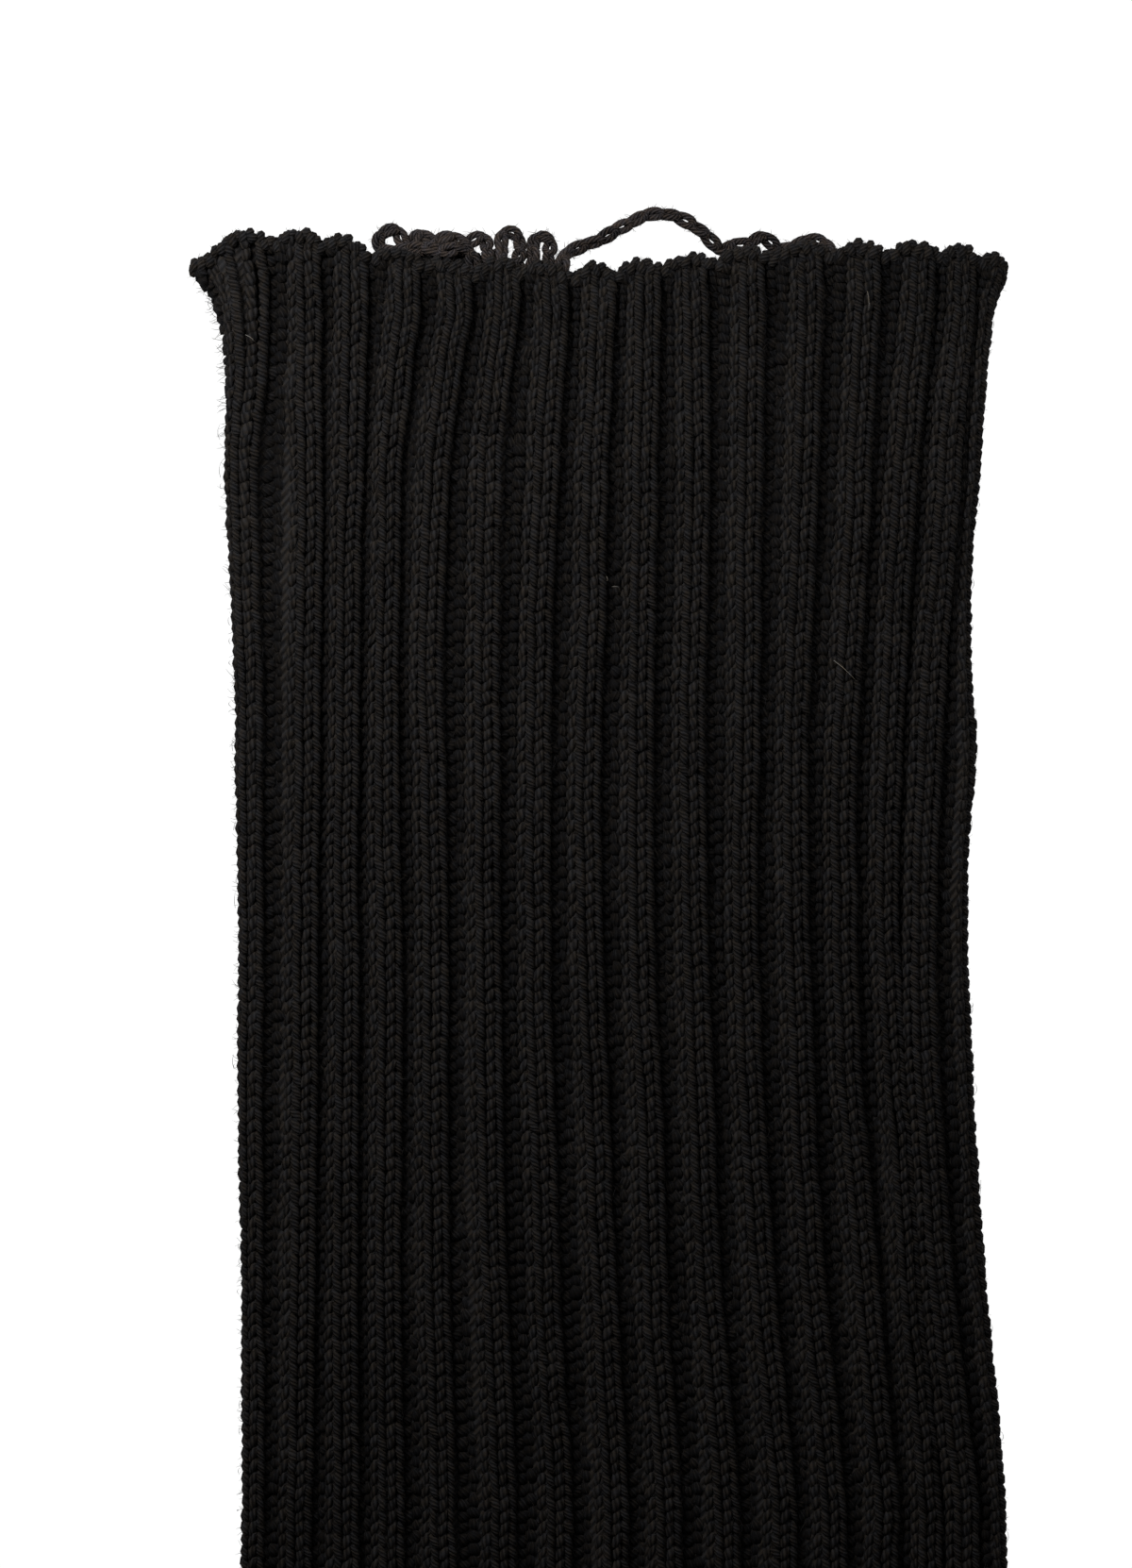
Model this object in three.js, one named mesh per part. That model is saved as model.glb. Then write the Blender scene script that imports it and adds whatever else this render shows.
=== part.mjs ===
// A leg warmer, hand-knitted as one tube in two-and-two rib, lying flat, with a crocheted chain at its top edge.
// Millimetres. +X goes to the right across the leg, +Y up to the top edge, +Z up from the surface that it lies on.
import * as THREE from 'three';

// Driving dimensions
const LENGTH = 460;
const TOP_LEVEL = LENGTH / 2 - 1;       // the level that the top edge is measured down from
const HEM_LEVEL = -LENGTH / 2 + 1;
const RIBS = 30;                        // ribs round the whole tube
const RIB_WALL = 4.7;                   // thickness of the knitting at the crest of a rib
const VALLEY_WALL = 2.4;                // thickness in the purl valley between two ribs
const HALF_GAP = 0.3;                   // half of the gap between the two layers
const MOUTH_LIFT = 3.1;                 // how far the upper layer is lifted where the chain comes out
const MOUTH_DEPTH = 34;                 // how far down the tube that lift dies away
const MOUTH_SIDE = 28;                  // and how far in from each fold
const EDGE_WALL_SHARE = 0.8;            // the bound-off edges are this much of the wall
const FOLD_RADIUS = HALF_GAP + RIB_WALL;
const CHAIN_DIAMETER = 2.8;
const CHAIN_SIDES = 8;
const CHAIN_STEPS = 150;

const YARN_COLOUR = 0x131213;

// Both folds of the flat tube at each level
const OUTLINE = [
  { y: 229, left: -90.5, right: 89.8 },
  { y: 225, left: -90.0, right: 90.3 },
  { y: 220, left: -88.0, right: 88.3 },
  { y: 214, left: -86.4, right: 86.8 },
  { y: 207, left: -84.6, right: 86.3 },
  { y: 198, left: -83.8, right: 85.4 },
  { y: 176, left: -83.4, right: 83.9 },
  { y: 155, left: -82.2, right: 82.0 },
  { y: 134, left: -81.4, right: 82.0 },
  { y: 114, left: -80.8, right: 83.0 },
  { y: 93, left: -80.4, right: 81.4 },
  { y: 72, left: -80.0, right: 81.1 },
  { y: 51, left: -80.2, right: 82.0 },
  { y: 30, left: -80.0, right: 82.9 },
  { y: 9, left: -79.4, right: 84.3 },
  { y: -12, left: -79.1, right: 86.0 },
  { y: -33, left: -79.1, right: 88.0 },
  { y: -54, left: -79.1, right: 89.6 },
  { y: -100, left: -80.0, right: 90.2 },
  { y: -150, left: -80.5, right: 90.4 },
  { y: -195, left: -81.2, right: 90.2 },
  { y: HEM_LEVEL, left: -83.0, right: 90.4 },
];

// The valleys between the ribs of the upper side, left to right, at five levels
const VALLEY_LEVELS = { foot: -54, low: 9, waist: 93, upper: 176, flare: 214 };
const VALLEYS = [
  { flare: -72.0, upper: -73.4, waist: -73.6, low: -74.2, foot: -74.4 },
  { flare: -61.6, upper: -62.4, waist: -62.4, low: -63.2, foot: -64.0 },
  { flare: -51.2, upper: -53.0, waist: -53.6, low: -54.0, foot: -53.4 },
  { flare: -39.0, upper: -44.6, waist: -44.2, low: -44.4, foot: -43.2 },
  { flare: -27.5, upper: -32.5, waist: -33.1, low: -33.1, foot: -30.4 },
  { flare: -18.0, upper: -19.3, waist: -21.4, low: -20.0, foot: -17.2 },
  { flare: -6.2, upper: -8.5, waist: -10.3, low: -8.0, foot: -5.5 },
  { flare: 3.4, upper: 2.4, waist: 1.0, low: 3.4, foot: 6.8 },
  { flare: 13.5, upper: 13.7, waist: 12.6, low: 15.6, foot: 19.3 },
  { flare: 25.2, upper: 24.8, waist: 25.0, low: 26.9, foot: 32.1 },
  { flare: 38.0, upper: 37.3, waist: 35.6, low: 38.4, foot: 43.8 },
  { flare: 51.5, upper: 49.4, waist: 47.1, low: 50.1, foot: 55.3 },
  { flare: 63.6, upper: 61.3, waist: 57.4, low: 61.0, foot: 66.6 },
  { flare: 75.6, upper: 71.2, waist: 66.2, low: 69.4, foot: 75.6 },
  { flare: 83.8, upper: 81.0, waist: 76.0, low: 78.7, foot: 85.4 },
];
const LEFT_FOLD_VALLEY = -3.0;          // where the valleys beside the folds lie, along the section past each fold
const RIGHT_FOLD_VALLEY = 3.5;

// The height of the top edge on each side, across the leg
const TOP_EDGE = [
  { x: -90.5, front: 223.0, back: 223.0 },
  { x: -86.0, front: 226.4, back: 223.4 },
  { x: -80.5, front: 228.6, back: 224.0 },
  { x: -64.0, front: 228.2, back: 223.2 },
  { x: -56.4, front: 226.8, back: 222.4 },
  { x: -49.5, front: 224.4, back: 221.6 },
  { x: -44.0, front: 223.6, back: 221.8 },
  { x: -39.0, front: 223.2, back: 224.6 },
  { x: -34.0, front: 221.4, back: 225.0 },
  { x: -28.5, front: 221.0, back: 224.3 },
  { x: -27.0, front: 221.2, back: 223.0 },
  { x: -24.5, front: 221.4, back: 221.6 },
  { x: -19.5, front: 221.6, back: 220.2 },
  { x: -7.5, front: 220.2, back: 219.0 },
  { x: 3.0, front: 220.8, back: 219.0 },
  { x: 17.5, front: 222.3, back: 219.6 },
  { x: 30.0, front: 223.9, back: 220.4 },
  { x: 44.5, front: 225.3, back: 221.4 },
  { x: 65.5, front: 225.4, back: 222.4 },
  { x: 80.0, front: 225.0, back: 222.6 },
  { x: 90.3, front: 222.2, back: 222.2 },
];
const EDGE_REACH = 39;                  // the edge's slant dies away this far down the tube
const LOBE = 1.2;                       // each rib ends in a lobe that stands this far above and below the edge line

// One rib across: where along it, how far it stands up, and what part of that on the side that rests
const RIB_PROFILE = [
  { at: 0, rise: 0, resting: 0 },
  { at: 0.15, rise: 0.62, resting: 0.62 },
  { at: 0.33, rise: 1, resting: 1 },
  { at: 0.5, rise: 0.88, resting: 1 },
  { at: 0.67, rise: 1, resting: 1 },
  { at: 0.85, rise: 0.62, resting: 0.62 },
];
const INSIDE_STOPS = [0, 3];            // the points of the profile that the plain inside keeps

// Levels of the rings, top to bottom; the inside keeps every second one
const RING_LEVELS = [
  TOP_LEVEL, 227, 224, 220, 214, 206, 196, 182, 164, 144, 124, 104, 84, 62,
  40, 18, -4, -26, -52, -90, -130, -170, -205, -224, HEM_LEVEL,
];

// The chain's centre line, from one hidden end in the mouth of the tube to the other
const CHAIN_ROUTE = [
  { x: -27.6, y: 216.8, z: 6.35 },
  { x: -28.0, y: 220.2, z: 6.35 },
  { x: -28.3, y: 223.4, z: 6.35 },
  { x: -29.2, y: 225.8, z: 6.35 },
  { x: -31.4, y: 226.3, z: 6.35 },
  { x: -34.4, y: 225.5, z: 6.35 },
  { x: -38.6, y: 226.1, z: 6.35 },
  { x: -43.2, y: 226.0, z: 5.20 },
  { x: -46.6, y: 225.6, z: 2.40 },
  { x: -48.8, y: 226.4, z: 1.50 },
  { x: -49.5, y: 228.4, z: 1.50 },
  { x: -48.4, y: 230.1, z: 1.50 },
  { x: -46.4, y: 230.7, z: 1.50 },
  { x: -44.8, y: 229.8, z: 1.50 },
  { x: -44.2, y: 228.3, z: 1.50 },
  { x: -43.0, y: 227.7, z: 1.50 },
  { x: -41.8, y: 228.2, z: 1.50 },
  { x: -40.9, y: 229.3, z: 1.50 },
  { x: -39.3, y: 229.4, z: 1.50 },
  { x: -37.5, y: 228.3, z: 1.50 },
  { x: -34.9, y: 229.1, z: 1.50 },
  { x: -32.6, y: 228.8, z: 1.50 },
  { x: -30.3, y: 227.7, z: 1.50 },
  { x: -28.1, y: 228.6, z: 1.50 },
  { x: -26.9, y: 228.9, z: 1.50 },
  { x: -25.6, y: 228.0, z: 2.20 },
  { x: -25.0, y: 226.2, z: 4.00 },
  { x: -25.0, y: 224.3, z: 5.90 },
  { x: -24.9, y: 222.5, z: 6.35 },
  { x: -24.5, y: 221.3, z: 6.35 },
  { x: -23.4, y: 220.8, z: 6.35 },
  { x: -22.3, y: 221.3, z: 6.35 },
  { x: -21.9, y: 222.5, z: 6.35 },
  { x: -21.8, y: 224.8, z: 5.50 },
  { x: -22.0, y: 227.4, z: 2.80 },
  { x: -21.8, y: 229.2, z: 1.55 },
  { x: -20.0, y: 230.2, z: 1.50 },
  { x: -18.2, y: 229.2, z: 1.50 },
  { x: -17.9, y: 226.8, z: 2.60 },
  { x: -18.0, y: 224.2, z: 5.40 },
  { x: -18.0, y: 222.3, z: 6.35 },
  { x: -17.6, y: 221.0, z: 6.35 },
  { x: -16.5, y: 220.5, z: 6.35 },
  { x: -15.4, y: 221.0, z: 6.35 },
  { x: -15.0, y: 222.3, z: 6.35 },
  { x: -14.9, y: 224.4, z: 5.40 },
  { x: -14.9, y: 226.8, z: 2.60 },
  { x: -14.6, y: 228.5, z: 1.55 },
  { x: -13.0, y: 229.4, z: 1.50 },
  { x: -11.4, y: 228.3, z: 1.55 },
  { x: -11.2, y: 226.2, z: 2.80 },
  { x: -11.5, y: 223.8, z: 5.40 },
  { x: -11.6, y: 222.1, z: 6.35 },
  { x: -11.2, y: 220.9, z: 6.35 },
  { x: -10.1, y: 220.4, z: 6.35 },
  { x: -9.0, y: 220.9, z: 6.35 },
  { x: -8.5, y: 222.2, z: 6.15 },
  { x: -8.2, y: 224.2, z: 4.60 },
  { x: -6.5, y: 226.0, z: 2.00 },
  { x: -3.6, y: 227.2, z: 1.50 },
  { x: 0.0, y: 228.6, z: 1.50 },
  { x: 4.9, y: 231.4, z: 1.50 },
  { x: 10.9, y: 234.1, z: 1.50 },
  { x: 15.0, y: 234.2, z: 1.50 },
  { x: 18.6, y: 233.0, z: 1.50 },
  { x: 22.0, y: 230.9, z: 1.50 },
  { x: 25.2, y: 227.8, z: 1.50 },
  { x: 26.6, y: 226.5, z: 1.50 },
  { x: 28.0, y: 226.4, z: 1.50 },
  { x: 29.8, y: 227.3, z: 1.50 },
  { x: 31.6, y: 227.2, z: 1.50 },
  { x: 33.6, y: 228.0, z: 1.50 },
  { x: 35.8, y: 229.1, z: 1.50 },
  { x: 38.0, y: 228.0, z: 1.50 },
  { x: 39.9, y: 226.5, z: 1.50 },
  { x: 42.6, y: 226.6, z: 1.50 },
  { x: 45.6, y: 228.2, z: 1.50 },
  { x: 48.4, y: 228.2, z: 1.50 },
  { x: 50.8, y: 226.7, z: 2.60 },
  { x: 52.3, y: 222.8, z: 6.20 },
  { x: 52.6, y: 218.4, z: 6.25 },
];

// A smooth curve through one column of a table whose rows are in order of another column
function curveThrough(rows, key, column) {
  const sorted = [...rows].sort((a, b) => a[key] - b[key]);
  const slope = (i, j) => (sorted[j][column] - sorted[i][column]) / (sorted[j][key] - sorted[i][key]);
  const last = sorted.length - 1;
  return (at) => {
    if (at <= sorted[0][key]) return sorted[0][column];
    if (at >= sorted[last][key]) return sorted[last][column];
    const i = sorted.findIndex((row) => row[key] > at) - 1;
    const step = sorted[i + 1][key] - sorted[i][key];
    const t = (at - sorted[i][key]) / step;
    const leaving = slope(Math.max(i - 1, 0), i + 1) * step;
    const arriving = slope(i, Math.min(i + 2, last)) * step;
    return (2 * t ** 3 - 3 * t ** 2 + 1) * sorted[i][column] + (t ** 3 - 2 * t ** 2 + t) * leaving
      + (3 * t ** 2 - 2 * t ** 3) * sorted[i + 1][column] + (t ** 3 - t ** 2) * arriving;
  };
}

const smooth = (share) => {
  const t = Math.min(Math.max(share, 0), 1);
  return t * t * (3 - 2 * t);
};

const leftFold = curveThrough(OUTLINE, 'y', 'left');
const rightFold = curveThrough(OUTLINE, 'y', 'right');
const frontEdge = curveThrough(TOP_EDGE, 'x', 'front');
const backEdge = curveThrough(TOP_EDGE, 'x', 'back');
const valleyCurves = VALLEYS.map((valley) => curveThrough(
  Object.entries(VALLEY_LEVELS).map(([name, y]) => ({ y, x: valley[name] })), 'y', 'x'));

// The flat tube's section at a level is two straight runs and two half-round folds. A place on it is its distance
// from the left fold, over the top, round the right fold and back underneath.
const quarterFold = Math.PI * FOLD_RADIUS / 2;

function placeOnSection(level, distance) {
  const left = leftFold(level) + FOLD_RADIUS;
  const right = rightFold(level) - FOLD_RADIUS;
  const run = right - left;
  const whole = 2 * run + 4 * quarterFold;
  const along = (distance + whole) % whole;
  if (along < quarterFold) return { x: left, turn: along / FOLD_RADIUS - Math.PI / 2 };
  if (along < quarterFold + run) return { x: left + along - quarterFold, turn: 0 };
  if (along < 3 * quarterFold + run) return { x: right, turn: (along - quarterFold - run) / FOLD_RADIUS };
  if (along < 3 * quarterFold + 2 * run) return { x: right - (along - 3 * quarterFold - run), turn: Math.PI };
  return { x: left, turn: Math.PI + (along - 3 * quarterFold - 2 * run) / FOLD_RADIUS };
}

// Where the valleys lie along the section: from the table on the upper side, evenly spread underneath
function valleyDistances(level) {
  const left = leftFold(level) + FOLD_RADIUS;
  const run = rightFold(level) - FOLD_RADIUS - left;
  const half = run + 2 * quarterFold;
  const upper = valleyCurves.map((curve) => curve(level) - left + quarterFold);
  const firstUnder = half + RIGHT_FOLD_VALLEY;
  const lastUnder = 2 * half + LEFT_FOLD_VALLEY;
  const underCount = RIBS - upper.length - 1;
  const under = Array.from({ length: underCount + 1 }, (_, i) =>
    firstUnder + (lastUnder - firstUnder) * i / underCount);
  return [LEFT_FOLD_VALLEY, ...upper, ...under];
}

// A point of the knitting: at a level, so far along the section, and so far out from the inside surface
function knittedPoint(level, distance, out, lobe) {
  const { x, turn } = placeOnSection(level, distance);
  const up = Math.cos(turn);
  const across = x + Math.sin(turn) * (HALF_GAP + out);
  const edge = THREE.MathUtils.lerp(backEdge(across), frontEdge(across), (up + 1) / 2);
  const nearTop = Math.max((level - TOP_LEVEL + EDGE_REACH) / EDGE_REACH, 0) ** 2;
  const fromFold = Math.min(across - leftFold(level), rightFold(level) - across);
  const lift = MOUTH_LIFT * smooth((level - TOP_LEVEL + MOUTH_DEPTH) / MOUTH_DEPTH) * smooth(fromFold / MOUTH_SIDE);
  const height = FOLD_RADIUS + up * (HALF_GAP + out) + (up > 0 ? up * lift : 0);
  return [across, level + (edge - TOP_LEVEL) * nearTop + lobe, Math.max(height, 0)];
}

// A ring of points round the tube at one level
function ring(level, stops, isOutside) {
  const valleys = valleyDistances(level);
  const isEdge = level === TOP_LEVEL || level === HEM_LEVEL;
  const points = [];
  for (let rib = 0; rib < RIBS; rib += 1) {
    for (const { at, rise, resting } of stops) {
      const distance = THREE.MathUtils.lerp(valleys[rib], valleys[rib + 1], at);
      const isUnder = Math.cos(placeOnSection(level, distance).turn) < 0;
      const share = isUnder ? resting : rise;
      const wall = THREE.MathUtils.lerp(VALLEY_WALL, RIB_WALL, share) * (isEdge ? EDGE_WALL_SHARE : 1);
      const lobe = isEdge ? Math.sign(level) * LOBE * (2 * smooth(Math.sin(Math.PI * at)) - 1) : 0;
      points.push(knittedPoint(level, distance, isOutside ? wall : 0, lobe));
    }
  }
  return points;
}

// Two triangles for each step round between an upper and a lower ring, facing out or in
function joinRings(triangles, upper, lower, count, facesOut) {
  for (let i = 0; i < count; i += 1) {
    const next = (i + 1) % count;
    const [a, b, c, d] = [upper + i, upper + next, lower + next, lower + i];
    triangles.push(...(facesOut ? [a, d, b, b, d, c] : [a, b, d, b, c, d]));
  }
}

// The edge between the outside ring and the inside ring, which has a third as many points
function joinEdge(triangles, outside, inside, facesUp) {
  const perRib = RIB_PROFILE.length;
  const insidePerRib = INSIDE_STOPS.length;
  const [outsideCount, insideCount] = [RIBS * perRib, RIBS * insidePerRib];
  for (let step = 0; step < insideCount; step += 1) {
    const first = step * perRib / insidePerRib;
    const outer = [0, 1, 2, 3].map((i) => outside + (first + i) % outsideCount);
    const [inner, nextInner] = [inside + step, inside + (step + 1) % insideCount];
    const fan = [
      [outer[0], inner, outer[1]], [outer[1], inner, nextInner],
      [outer[1], nextInner, outer[2]], [outer[2], nextInner, outer[3]],
    ];
    fan.forEach(([a, b, c]) => triangles.push(...(facesUp ? [a, c, b] : [a, b, c])));
  }
}

function closedBody(points, triangles) {
  const geometry = new THREE.BufferGeometry();
  geometry.setAttribute('position', new THREE.Float32BufferAttribute(points.flat(), 3));
  geometry.setIndex(triangles);
  geometry.computeVertexNormals();
  return geometry;
}

// The knitted tube: ribs outside, plain inside, open at both ends
function legTube() {
  const insideStops = INSIDE_STOPS.map((i) => RIB_PROFILE[i]);
  const insideLevels = RING_LEVELS.filter((_, i) => i % 2 === 0);
  const outsideRings = RING_LEVELS.map((level) => ring(level, RIB_PROFILE, true));
  const insideRings = insideLevels.map((level) => ring(level, insideStops, false));
  const points = [...outsideRings, ...insideRings].flat();
  const around = RIBS * RIB_PROFILE.length;
  const aroundInside = RIBS * INSIDE_STOPS.length;
  const insideStart = RING_LEVELS.length * around;
  const triangles = [];
  for (let i = 0; i + 1 < RING_LEVELS.length; i += 1) {
    joinRings(triangles, i * around, (i + 1) * around, around, true);
  }
  for (let i = 0; i + 1 < insideLevels.length; i += 1) {
    joinRings(triangles, insideStart + i * aroundInside, insideStart + (i + 1) * aroundInside, aroundInside, false);
  }
  joinEdge(triangles, 0, insideStart, true);
  const lastInside = insideStart + (insideLevels.length - 1) * aroundInside;
  joinEdge(triangles, (RING_LEVELS.length - 1) * around, lastInside, false);
  return closedBody(points, triangles);
}

// The crocheted chain, as a plain round cord along its route
function chainCord() {
  const route = new THREE.CatmullRomCurve3(
    CHAIN_ROUTE.map(({ x, y, z }) => new THREE.Vector3(x, y, z)), false, 'centripetal');
  const section = new THREE.Shape();
  for (let i = 0; i < CHAIN_SIDES; i += 1) {
    const angle = 2 * Math.PI * (i + 0.5) / CHAIN_SIDES;
    const [across, up] = [Math.cos(angle), Math.sin(angle)].map((share) => share * CHAIN_DIAMETER / 2);
    if (i === 0) section.moveTo(across, up);
    else section.lineTo(across, up);
  }
  section.closePath();
  return new THREE.ExtrudeGeometry(section, { steps: CHAIN_STEPS, extrudePath: route });
}

function yarnPiece(name, geometry) {
  const material = new THREE.MeshStandardMaterial({ color: YARN_COLOUR, roughness: 0.95, metalness: 0 });
  const piece = new THREE.Mesh(geometry, material);
  piece.name = name;
  return piece;
}

const legWarmer = new THREE.Group();
legWarmer.add(yarnPiece('leg_tube', legTube()));
legWarmer.add(yarnPiece('chain_cord', chainCord()));

export default legWarmer;
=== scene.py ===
# %% [markdown]
# This lesson dresses a knitted leg warmer. The real one is a single tube of black wool in two-and-two rib:
# two columns of knit stitches, two of purl, round and round. It lies flat, so an upper layer rests on an
# under layer, and a slack crocheted chain lies along its top edge. The measured solids come first.
# Everything below is made round them, in metres, and where a size reads more easily in millimetres it is
# multiplied by MM.

# %% Load the measured model
import math

import bpy
import numpy as np
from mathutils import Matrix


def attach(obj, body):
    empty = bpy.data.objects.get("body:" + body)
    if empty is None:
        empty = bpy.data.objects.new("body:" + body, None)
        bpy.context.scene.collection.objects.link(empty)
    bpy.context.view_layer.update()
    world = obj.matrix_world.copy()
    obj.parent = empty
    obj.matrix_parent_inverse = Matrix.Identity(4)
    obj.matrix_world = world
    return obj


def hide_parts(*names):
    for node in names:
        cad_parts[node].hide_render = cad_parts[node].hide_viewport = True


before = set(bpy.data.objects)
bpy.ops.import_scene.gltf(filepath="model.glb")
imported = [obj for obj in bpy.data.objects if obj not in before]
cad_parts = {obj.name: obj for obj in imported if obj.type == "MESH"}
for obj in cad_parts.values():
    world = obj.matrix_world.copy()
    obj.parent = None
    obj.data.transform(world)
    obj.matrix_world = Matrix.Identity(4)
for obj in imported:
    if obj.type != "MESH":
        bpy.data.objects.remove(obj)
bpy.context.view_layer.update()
MM = 0.001
SEED = 41
rng = np.random.default_rng(SEED)
print("nodes:", sorted(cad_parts))

# %% [markdown]
# The camera looks straight down, as the photograph does. A long lens keeps the ribs at the sides from
# leaning. The picture is 1200 by 1662 pixels, and one pixel is 0.209 mm on the knitting, so the lens
# follows from the distance.

# %% Camera
PICTURE_PIXELS = (1200, 1662)
PIXEL = 0.209 * MM
PICTURE_CENTRE = (-7.6 * MM, 107.1 * MM)
CREST_HEIGHT = 10 * MM
CAMERA_DISTANCE = 1.2
SENSOR_HEIGHT = 24.0

eye_data = bpy.data.cameras.new("camera")
eye_data.sensor_fit = "VERTICAL"
eye_data.sensor_height = SENSOR_HEIGHT
eye_data.lens = SENSOR_HEIGHT * CAMERA_DISTANCE / (PICTURE_PIXELS[1] * PIXEL)
eye = bpy.data.objects.new("camera", eye_data)
eye.location = (*PICTURE_CENTRE, CREST_HEIGHT + CAMERA_DISTANCE)
bpy.context.scene.collection.objects.link(eye)
bpy.context.scene.camera = eye
print("lens", round(eye_data.lens, 1), "mm")

# %% [markdown]
# Wool yarn is matt. Its fibres scatter light, which gives a faint sheen at the edges of each strand, and
# the plies of the yarn turn round each other, which shows as fine slanting grooves. So one recipe serves
# the knitting and the chain: a base colour that a number on each stitch makes lighter or darker, a soft
# sheen, and a bump made of the ply twist and of fibre noise. The grooves are also painted darker in the
# base colour, a painted shade. The photograph's black is very deep, so the hex values are deep too. Under a
# lens it is a mix of warm and cool fibres, so a fine noise tints it either way.


# %% Finishes
def linear(hex_colour, alpha=1.0):
    """An sRGB hex colour as the linear numbers that a shader takes."""
    parts = [int(hex_colour[i:i + 2], 16) / 255 for i in (1, 3, 5)]
    return (*[p / 12.92 if p <= 0.04045 else ((p + 0.055) / 1.055) ** 2.4 for p in parts], alpha)


def add_node(tree, kind, settings=None, links=None):
    """Adds a node to a tree, sets what settings name, and links its sockets from what links name."""
    node = tree.nodes.new(kind)
    for name, value in (settings or {}).items():
        if isinstance(name, int) or name in node.inputs:
            node.inputs[name].default_value = value
        else:
            setattr(node, name, value)
    for name, source in (links or {}).items():
        tree.links.new(source, node.inputs[name])
    return node


def empty_material(name):
    material = bpy.data.materials.new(name)
    material.use_nodes = True
    material.node_tree.nodes.clear()
    return material, material.node_tree


def ramp(tree, source, first, last):
    """The colour of a ramp between two stops, each a (place, colour) pair."""
    node = add_node(tree, "ShaderNodeValToRGB", links={"Fac": source})
    for point, (place, colour) in zip(node.color_ramp.elements, (first, last)):
        point.position, point.color = place, colour
    return node.outputs["Color"]


PLY_COUNT = 5  # plies in the yarn
PLY_TURN_MM = 5.4  # yarn length for one turn of the plies
YARN_ROUND_MM = 6.0  # once round the yarn
STREAK_MM = (0.3, 1.4)  # a tuft of fibres, across and along
SPECK_MM, HEATHER_MM, PATCH_MM = 0.5, 1.4, 18.0  # single fibres, coloured fibres, worn patches
SPECK_ROUGHNESS = 0.7
# the ply share paints the grooves between the plies darker in the base colour: painted shade
PLY_GROOVE_SHADE_SHARE, STREAK_SHARE, SPECK_SHARE, PATCH_SHARE = 0.95, 1.1, 0.9, 0.5  # how far each moves the tone
WARM_FIBRES = (0.36, (1.1, 1.0, 0.86, 1.0))
COOL_FIBRES = (0.64, (0.92, 1.0, 1.12, 1.0))


def wool_yarn(name, dark, light, ply_depth, fibre_depth, sheen):
    """Matt black wool, spun and plied. Its grooves and streaks follow the yarn by its UV map, which is in
    turns and millimetres. Both depths are in millimetres."""
    material, tree = empty_material(name)
    place = add_node(tree, "ShaderNodeTexCoord").outputs["Object"]

    def math_node(operation, first, second=None, third=None):
        values, links = {}, {}
        for i, value in enumerate((first, second, third)):
            if isinstance(value, (int, float)):
                values[i] = value
            elif value is not None:
                links[i] = value
        return add_node(tree, "ShaderNodeMath", {"operation": operation, **values}, links).outputs[0]

    def noise(size_mm, roughness=0.5):
        settings = {"Scale": 1 / (size_mm * MM), "Detail": 2.0, "Roughness": roughness}
        return add_node(tree, "ShaderNodeTexNoise", settings, {"Vector": place}).outputs["Fac"]

    uv = add_node(tree, "ShaderNodeUVMap", {"uv_map": "yarn"})
    turn_and_length = add_node(tree, "ShaderNodeSeparateXYZ", links={"Vector": uv.outputs["UV"]})
    length = turn_and_length.outputs["Y"]
    twisted = math_node("MULTIPLY_ADD", length, -1 / PLY_TURN_MM, turn_and_length.outputs["X"])
    wave = math_node("SINE", math_node("MULTIPLY", twisted, 2 * math.pi * PLY_COUNT))
    plies = math_node("MULTIPLY_ADD", wave, 0.5, 0.5)
    streak_place = add_node(tree, "ShaderNodeCombineXYZ", links={
        "X": math_node("MULTIPLY", twisted, YARN_ROUND_MM / STREAK_MM[0]),
        "Y": math_node("MULTIPLY", length, 1 / STREAK_MM[1])})
    streaks = add_node(tree, "ShaderNodeTexNoise", {"Scale": 1.0, "Detail": 3.0, "Roughness": 0.6},
                       {"Vector": streak_place.outputs["Vector"]}).outputs["Fac"]
    # The ply wave darkens the grooves in the base colour, a painted shade; the streaks, specks and patches
    # are random tone.
    patterns = ((plies, PLY_GROOVE_SHADE_SHARE), (streaks, STREAK_SHARE), (noise(SPECK_MM, SPECK_ROUGHNESS), SPECK_SHARE),
                (noise(PATCH_MM), PATCH_SHARE))
    shade = add_node(tree, "ShaderNodeAttribute", {"attribute_name": "tone"}).outputs["Fac"]
    for pattern, share in patterns:
        shade = math_node("ADD", shade, math_node("MULTIPLY_ADD", pattern, share, -share / 2))
    colour = ramp(tree, shade, (0.0, linear(dark)), (1.0, linear(light)))
    tint = ramp(tree, noise(HEATHER_MM), WARM_FIBRES, COOL_FIBRES)
    tinted = add_node(tree, "ShaderNodeVectorMath", {"operation": "MULTIPLY"}, {0: colour, 1: tint})
    height = math_node("MULTIPLY_ADD", streaks, fibre_depth / ply_depth, plies)
    relief = add_node(tree, "ShaderNodeBump", {"Strength": 1.0, "Distance": ply_depth * MM},
                      {"Height": height})
    matt = {"Roughness": 0.85, "Specular IOR Level": 0.03, "Sheen Weight": sheen, "Sheen Roughness": 0.45,
            "Sheen Tint": linear("#8f8888")}
    yarn = add_node(tree, "ShaderNodeBsdfPrincipled", matt,
                    {"Base Color": tinted.outputs["Vector"], "Normal": relief.outputs["Normal"]})
    add_node(tree, "ShaderNodeOutputMaterial", links={"Surface": yarn.outputs["BSDF"]})
    return material


knit_wool = wool_yarn("plied_black_wool", "#100f0f", "#252322", 0.22, 0.3, 0.01)
chain_wool = wool_yarn("crocheted_black_wool", "#0b0a0a", "#393433", 0.2, 0.25, 0.01)
print("finishes:", knit_wool.name, chain_wool.name)

# %% [markdown]
# Knitting is thousands of small strands, far too many to place one by one. Each strand is a spindle: a few
# rings of points round a short line, closed to a point at both ends, where the real yarn dives under its
# neighbour. One function works out all the spindles of a piece at once from arrays of places and
# directions, and joins them as one mesh. Each strand gets its own tone and its own stretch of the yarn's UV
# map. Wool also sheds loose fibres, which blur its outline, and these come from arrays in the same way.


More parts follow.
